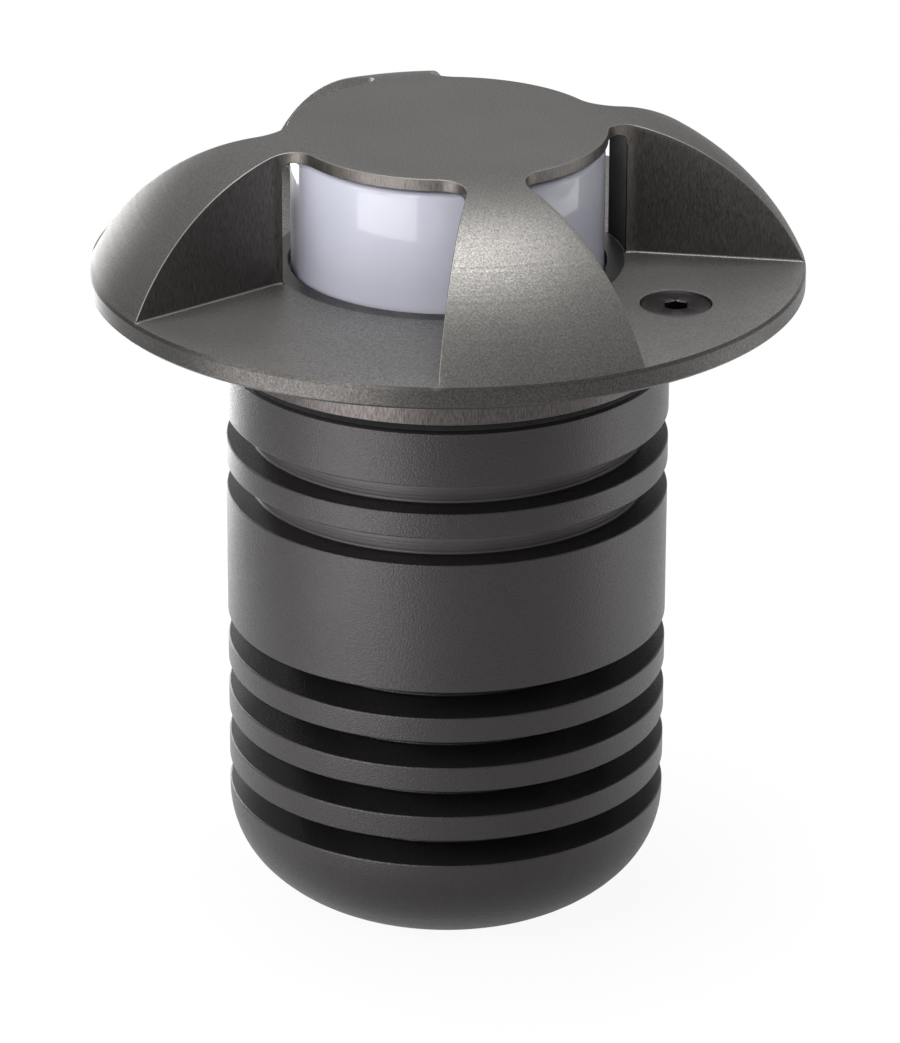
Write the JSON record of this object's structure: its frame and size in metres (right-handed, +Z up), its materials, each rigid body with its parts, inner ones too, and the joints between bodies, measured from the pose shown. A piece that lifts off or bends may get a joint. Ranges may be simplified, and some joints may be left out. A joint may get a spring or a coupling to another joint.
{
  "type": "recessed light",
  "caption": "Recessed ground light: domed cover with side windows round an opal diffuser, over a round ribbed housing with a cable entry in its base.",
  "frame": {"origin": "centre of the housing's flat foot, at the lowest point of the light", "axes": "+Z up along the light's axis to the flat top of the cover; +X and -X through the pockets that hold the fixing screws"},
  "size_m": [0.08, 0.08, 0.0922],
  "materials": {
    "anodised_cover": "dark anodised, bead blasted, milled pockets",
    "black_screws": "black oxide",
    "opal_diffuser": "opal, glossy",
    "clear_silicone": "matt silicone",
    "black_rubber": "matt black",
    "coated_housing": "anthracite powder coat over die-cast aluminium, fine texture",
    "led_board_white": "white solder mask",
    "led_phosphor": "phosphor gel",
    "connector_plastic": "moulded",
    "bright_screws": "zinc plated",
    "reflector_white": "white, satin",
    "pad_silicone": "matt silicone",
    "raw_aluminium": "turned",
    "green_board": "green solder mask",
    "holder_plastic": "moulded",
    "capacitor_sleeve": "shrink sleeve",
    "choke_core": "ferrite, matt",
    "chip_epoxy": "moulded epoxy",
    "terminal_plastic": "moulded",
    "lead_sleeve": "sleeved",
    "nickel_brass": "nickel plated"
  },
  "bodies": {
    "root": {"top_cover": "anodised_cover", "flange_screws": "black_screws", "diffuser": "opal_diffuser", "diffuser_gasket": "clear_silicone", "cover_gasket": "black_rubber", "housing": "coated_housing", "led_board": "led_board_white", "leds": "led_phosphor", "led_connector": "connector_plastic", "led_board_screws": "bright_screws", "reflector": "reflector_white", "thermal_pad": "pad_silicone", "led_carrier": "raw_aluminium", "carrier_screws": "bright_screws", "driver_board": "green_board", "board_cap": "holder_plastic", "board_foot": "holder_plastic", "capacitors": "capacitor_sleeve", "choke": "choke_core", "driver_chips": "chip_epoxy", "terminal_block": "terminal_plastic", "terminal_screws": "bright_screws", "hookup_leads": "lead_sleeve", "gland_body": "nickel_brass", "gland_washer": "black_rubber", "gland_seal": "black_rubber", "gland_nut": "nickel_brass"}
  },
  "joints": []
}
